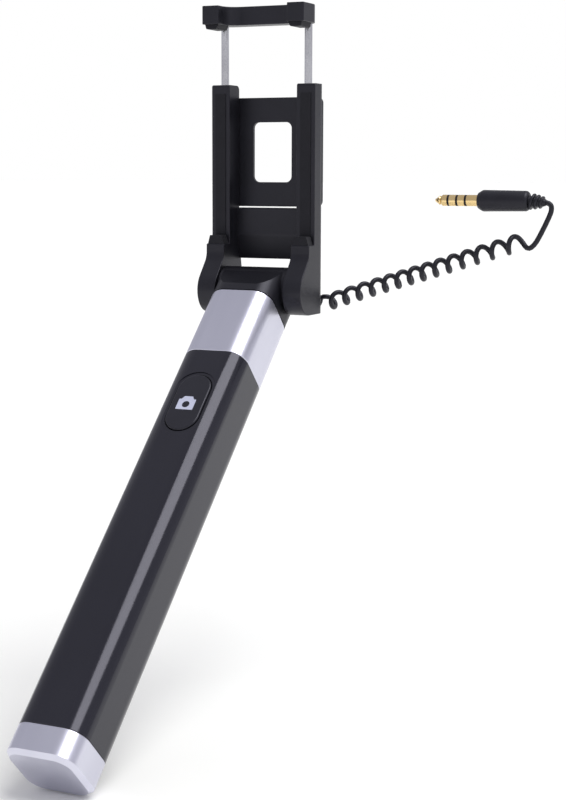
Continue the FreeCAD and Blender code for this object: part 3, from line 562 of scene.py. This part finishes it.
# ---- cord -----------------------------------------------------------------------------------
@dataclass
class CurlyCord:
    """The curly cord from the clamp's ear to the plug, with its plain ends."""

    shop: Workshop
    diameter: float = 1.6 * MM
    coil_radius: float = 2.12 * MM
    turns: int = 14
    first_crest: float = 0.3 * MM
    tight_pitch: float = 4.92 * MM
    stretch: float = 6.2 * MM
    tightest_share: float = 0.56
    hand: float = -1.0
    steps_per_turn: int = 16
    wire_steps: int = 3
    wire_roundness: int = 4
    lead_out: tuple[Point, ...] = (
        (14.6, 13.2, -6.0), (14.4, 16.6, -6.7), (17.0, 16.2, -5.6))
    coil_route: tuple[Point, ...] = (
        (17.0, 16.2, -5.6), (21.0, 14.0, -4.3), (31.8, 9.9, -0.9), (44.6, 6.6, 3.0),
        (57.5, 3.3, 6.9), (69.7, 0.7, 10.7), (79.9, -1.1, 13.9), (88.6, -2.2, 16.6))
    tail_route: tuple[Point, ...] = (
        (88.6, -2.2, 16.6), (91.4, -1.9, 14.4), (93.6, -1.6, 16.0), (95.9, -1.35, 20.6),
        (97.6, -1.35, 24.2), (98.5, -1.35, 26.6), (98.1, -1.35, 28.5), (96.6, -1.35, 28.75))
    run_in: tuple[Point, ...] = ((15.1, 16.5, -3.5),)
    run_out: tuple[Point, ...] = ((88.1, -1.05, 18.1), (89.3, -1.0, 16.9))

    def pitch(self, turn: int) -> float:
        """Length of a turn along the route, counted from the clamp: the ends are drawn out more."""
        share = (turn + 0.5) / self.turns
        return self.tight_pitch + self.stretch * (share - self.tightest_share) ** 2

    def helix(self) -> list[Vector]:
        """Wind the coiled stretch, one turn from each crest to the next.

        Returns:
            Its control points.
        """
        winder = Winder(route_line([from_hinge(*p) for p in self.coil_route]), Z_AXIS)
        # The spline runs inside its control points, so they stand a little outside the coil
        radius = self.coil_radius / math.cos(math.pi / self.steps_per_turn) ** 2
        points = []
        station = self.first_crest
        for turn in range(self.turns):
            pitch = self.pitch(turn)
            steps = self.steps_per_turn + (turn == self.turns - 1)
            for step in range(steps):
                share = step / self.steps_per_turn
                angle = math.tau * share
                point, across, over = winder.at(station + pitch * share)
                points.append(point + (across * math.cos(angle)
                                       + over * (self.hand * math.sin(angle))) * radius)
            station += pitch
        return points

    def build(self, others: list[bpy.types.Object]) -> bpy.types.Object:
        """Args:
            others: the pieces on its far end; not used.

        Returns:
            The cord's curve object.
        """
        lead = [from_hinge(*p) for p in self.lead_out]
        tail = [from_hinge(*p) for p in self.tail_route]
        into, out = ([from_hinge(*p) for p in bend] for bend in (self.run_in, self.run_out))
        points = lead[:-1] + into + self.helix() + out + tail[1:]
        length = line_length(route_line(points))
        cord = round_wire("curly_cord_wire", points, self.wire_steps, self.diameter,
                          self.wire_roundness)
        self.shop.finish_piece(cord, "cord_rubber", "clamp", "cord_lead", "curly_cord", "cord_tail")
        LOG.info("cord length %.4f m", length)
        return cord


@dataclass
class AudioPlug:
    """Moulded grip, strain relief and four-pole contact of the plug."""

    shop: Workshop
    nose: Point = (75.3, -1.35, 29.15)
    grip_length: float = 16.2 * MM
    front_radius: float = 3.3 * MM
    tail_radius: float = 3.1 * MM
    nose_ledge: float = 0.6 * MM
    nose_cone: float = 1.6 * MM
    tail_round: float = 0.7 * MM
    grip_bevel: float = 0.35 * MM
    grip_facets: int = 64
    droop: float = 0.07
    sleeve_drop: float = 0.1 * MM
    sleeve: tuple[tuple[float, float], ...] = (
        (-0.2 * MM, 1.75 * MM), (4.2 * MM, 1.3 * MM), (5.1 * MM, 1.0 * MM))
    first_rib: float = 0.9 * MM
    rib_pitch: float = 1.45 * MM
    rib_radii: tuple[float, ...] = (2.6 * MM, 2.35 * MM, 2.0 * MM)
    rib_half: float = 0.42 * MM
    rib_crown: float = 0.15 * MM
    rib_bevel: float = 0.12 * MM
    rib_lean: float = 14.0
    relief_facets: int = 40
    contact_radius: float = 1.75 * MM
    contact_length: float = 14.0 * MM
    contact_facets: int = 48
    tip: tuple[tuple[float, float], ...] = (
        (0.2 * MM, 1.3 * MM), (1.6 * MM, 0.35 * MM), (2.0 * MM, 0.5 * MM), (2.6 * MM, 0.0))
    rings: tuple[float, ...] = (4.2 * MM, 7.0 * MM, 9.8 * MM)
    ring_width: float = 0.7 * MM
    ring_flank: float = 0.05 * MM
    ring_depth: float = 0.12 * MM
    band_play: float = 0.08 * MM
    band_root: float = 0.3 * MM
    band_sink: float = 0.02 * MM

    def contact_end(self) -> Vector:
        """Free end of the contact, in metres."""
        return from_hinge(*self.nose) - X_AXIS * self.contact_length

    def grip(self) -> bpy.types.Object:
        """Make the grip, with a coned nose and softly rounded tail.

        Returns:
            The finished piece.
        """
        profile = closed([(0.0, self.contact_radius + self.nose_ledge),
                          (self.nose_cone, self.front_radius),
                          (self.grip_length - self.tail_round, self.tail_radius),
                          (self.grip_length, self.tail_radius - self.tail_round)])
        shape = turned(profile, from_hinge(*self.nose), X_AXIS, self.grip_facets)
        round_edges(shape, self.grip_bevel, 3, 18)
        piece = self.shop.from_bmesh("plug_grip", shape)
        return self.shop.finish_piece(piece, "cord_rubber", "clamp", "plug_body")

    def relief(self) -> bpy.types.Object:
        """Make the tapered sleeve with three leaning ribs, which droops towards the cord.

        Returns:
            The finished piece.
        """
        start = from_hinge(*self.nose) + X_AXIS * self.grip_length - Z_AXIS * self.sleeve_drop
        along = Vector((math.cos(self.droop), 0, -math.sin(self.droop)))
        lean = Matrix.Rotation(math.radians(self.rib_lean), 3, "Y")
        whole = turned(closed(list(self.sleeve)), start, along, self.relief_facets)
        for rib, radius in enumerate(self.rib_radii):
            centre = start + along * (self.first_rib + self.rib_pitch * rib)
            shoulder = radius - self.rib_crown
            profile = closed([(-self.rib_half, shoulder), (0.0, radius), (self.rib_half, shoulder)])
            ring = turned(profile, centre, along, self.relief_facets)
            round_edges(ring, self.rib_bevel, 2, 40)
            bmesh.ops.rotate(ring, verts=ring.verts, cent=centre, matrix=lean)
            take_in(whole, ring)
        piece = self.shop.from_bmesh("plug_strain_relief", whole)
        return self.shop.finish_piece(piece, "cord_rubber", "clamp", "plug_relief")

    def contact(self) -> bpy.types.Object:
        """Make the gold contact, with its waisted tip and three grooves.

        Returns:
            The finished piece.
        """
        radius = self.contact_radius
        floor = radius - self.ring_depth
        profile = [(0.0, 0.0)] + [(along, radius - inset) for along, inset in self.tip]
        for ring in self.rings:
            end = ring + self.ring_width
            profile += [(ring, radius), (ring + self.ring_flank, floor),
                        (end - self.ring_flank, floor), (end, radius)]
        profile += [(self.contact_length, radius), (self.contact_length, 0.0)]
        shape = turned(profile, self.contact_end(), X_AXIS, self.contact_facets)
        piece = self.shop.from_bmesh("plug_contact_pin", shape)
        return self.shop.finish_piece(piece, "gold_contact", "clamp", "plug_contact")

    def insulators(self) -> bpy.types.Object:
        """Make the three dark rings between the poles of the contact.

        Returns:
            The finished piece.
        """
        whole = bmesh.new()
        inner = self.contact_radius - self.band_root
        outer = self.contact_radius - self.band_sink
        for ring in self.rings:
            low, high = ring + self.band_play, ring + self.ring_width - self.band_play
            loop = [(low, inner), (low, outer), (high, outer), (high, inner), (low, inner)]
            take_in(whole, turned(loop, self.contact_end(), X_AXIS, self.contact_facets))
        piece = self.shop.from_bmesh("plug_insulators", whole)
        return self.shop.finish_piece(piece, "pad_rubber", "clamp")

    def build(self) -> list[bpy.types.Object]:
        """Make the four pieces of the plug."""
        return [self.grip(), self.relief(), self.contact(), self.insulators()]


# ---- springs --------------------------------------------------------------------------------
@dataclass
class JawSprings:
    """The two coil springs that draw the upper jaw down, placed in millimetres from the hinge."""

    shop: Workshop
    spacing: float = 30.0
    behind: float = 5.3
    foot: float = 35.2
    seat: float = 62.0
    radius: float = 1.775 * MM
    wire: float = 0.45 * MM
    turns: int = 14
    steps_per_turn: int = 14
    wire_steps: int = 2
    wire_roundness: int = 2

    def coil(self, seat: Vector, foot: Vector) -> list[Vector]:
        """Wind one spring.

        Args:
            seat: centre of its upper end.
            foot: centre of its lower end.

        Returns:
            Its control points, from the seat down.
        """
        winder = Winder(route_line([seat, seat.lerp(foot, 0.5), foot]), X_AXIS)
        inset = self.wire / 2 / winder.length
        count = self.turns * self.steps_per_turn
        points = []
        for step in range(count + 1):
            share = step / count
            angle = math.tau * self.turns * share
            point, across, over = winder.at(winder.length * (inset + share * (1 - 2 * inset)))
            points.append(point + (across * math.cos(angle) + over * math.sin(angle)) * self.radius)
        return points

    def build(self) -> None:
        """Make both springs."""
        for side, x in (("left", -self.spacing / 2), ("right", self.spacing / 2)):
            name = "jaw_spring_" + side
            foot = from_hinge(x, self.behind, self.foot)
            seat = from_hinge(x, self.behind, self.seat)
            mesh = meshed(round_wire(name, self.coil(seat, foot), self.wire_steps, self.wire,
                                     self.wire_roundness))
            piece = placed(name, mesh)
            piece.data.materials.append(self.shop.materials["bright_steel"])
            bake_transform(piece)
            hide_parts("jaw_springs")
            LOG.info("piece %s between clamp and upper_jaw", piece.name)


# ---- stage ----------------------------------------------------------------------------------
@dataclass
class Studio:
    """Pale floor, soft lights and the camera."""

    floor_radius: float = 40.0
    floor_sides: int = 64
    floor_gap: float = 0.0005
    paper: Layer = Layer(30.0, 4.0)
    paper_dark: Point = (0.96, 0.96, 0.92)
    paper_light: Point = (0.97, 0.97, 0.93)
    paper_rough: float = 0.95
    sun_power: float = 2.15
    sun_angle: float = 0.77
    sun_from: Point = (0.45, -0.07, 0.89)
    room_towards: Point = (0.45, 0.88, -0.14)
    room_span: tuple[float, float] = (-0.6, 0.9)
    room_power: tuple[float, float] = (0.54, 0.60)
    room_tint: tuple[float, float, float, float] = (0.92, 0.92, 1.0, 1.0)
    backdrop: float = 1.0
    eye: Point = (0.23673, -0.36203, 0.15979)
    yaw: float = 0.43403
    pitch: float = -0.13464
    roll: float = 0.0031
    focal_length: float = 74.696265
    sensor_width: float = 36.0
    near: float = 0.01

    def floor(self) -> None:
        """Lay a wide pale floor under the stick."""
        low = CAD_BOX[0][2] - self.floor_gap
        shape = bmesh.new()
        bmesh.ops.create_circle(shape, cap_ends=True, segments=self.floor_sides,
                                radius=self.floor_radius)
        bmesh.ops.translate(shape, verts=shape.verts, vec=(0.0, 0.0, low))
        mesh = bpy.data.meshes.new("studio_floor")
        shape.to_mesh(mesh)
        shape.free()
        tree = Tree("floor_paper")
        tone = tree.ramp(tree.noise(self.paper), self.paper_dark, self.paper_light)
        tree.links.new(tone, tree.shader.inputs["Base Color"])
        tree.shader.inputs["Roughness"].default_value = self.paper_rough
        mesh.materials.append(tree.material)
        floor = placed("studio_floor", mesh)

    def sun(self) -> None:
        """Hang a large soft source high at the right, for the floor and the rounded corners."""
        lamp = bpy.data.lights.new("overhead_softbox", "SUN")
        lamp.energy = self.sun_power
        lamp.angle = self.sun_angle
        holder = placed("overhead_softbox", lamp)
        holder.rotation_euler = Vector(self.sun_from).to_track_quat("Z", "Y").to_euler()

    def surround(self) -> None:
        """Set a white background behind the stick, and a soft room that only lights it."""
        world = bpy.data.worlds.new("surround")
        world.use_nodes = True
        nodes, links = world.node_tree.nodes, world.node_tree.links
        background = nodes["Background"]
        coordinates = nodes.new("ShaderNodeTexCoord")
        facing = nodes.new("ShaderNodeVectorMath")
        facing.operation = "DOT_PRODUCT"
        facing.inputs[1].default_value = self.room_towards
        links.new(coordinates.outputs["Object"], facing.inputs[0])
        room = nodes.new("ShaderNodeMapRange")
        for end, facing_end, power in zip(("Min", "Max"), self.room_span, self.room_power):
            room.inputs["From " + end].default_value = facing_end
            room.inputs["To " + end].default_value = power
        links.new(facing.outputs["Value"], room.inputs["Value"])
        path = nodes.new("ShaderNodeLightPath")
        strength = nodes.new("ShaderNodeMix")
        strength.data_type = "FLOAT"
        strength.inputs[NUMBER_B].default_value = self.backdrop
        links.new(path.outputs["Is Camera Ray"], strength.inputs[0])
        links.new(room.outputs["Result"], strength.inputs[NUMBER_A])
        links.new(strength.outputs[NUMBER_OUT], background.inputs["Strength"])
        tint = nodes.new("ShaderNodeMix")
        tint.data_type = "RGBA"
        tint.inputs[COLOUR_A].default_value = self.room_tint
        tint.inputs[COLOUR_B].default_value = WHITE
        links.new(path.outputs["Is Camera Ray"], tint.inputs[0])
        links.new(tint.outputs[COLOUR_OUT], background.inputs["Color"])
        bpy.context.scene.world = world

    def camera(self) -> None:
        """Put the camera at its eye point, with no shift."""
        forward = Vector((-math.sin(self.yaw) * math.cos(self.pitch),
                          math.cos(self.yaw) * math.cos(self.pitch), math.sin(self.pitch)))
        right = forward.cross(Z_AXIS).normalized()
        up = right.cross(forward)
        cos, sin = math.cos(self.roll), math.sin(self.roll)
        side, head = right * cos + up * sin, up * cos - right * sin
        lens = bpy.data.cameras.new("eye")
        lens.sensor_width = self.sensor_width
        lens.sensor_fit = "AUTO"
        lens.lens = self.focal_length
        lens.clip_start = self.near
        holder = placed("eye", lens)
        turn = Matrix((side, head, -forward)).transposed().to_4x4()
        holder.matrix_world = Matrix.Translation(Vector(self.eye)) @ turn
        bpy.context.scene.camera = holder

    def build(self) -> None:
        """Set the whole stage."""
        self.floor()
        self.sun()
        self.surround()
        self.camera()
        bpy.context.scene.view_settings.view_transform = "Standard"


def main() -> None:
    """Dress the frame, make the new pieces and set the stage."""
    logging.basicConfig(level=logging.INFO, format="%(message)s")
    shop = Workshop()
    shop.dress_frame()
    plug = AudioPlug(shop).build()
    CurlyCord(shop).build(plug)
    JawSprings(shop).build()
    Studio().build()


if __name__ == "__main__":
    main()
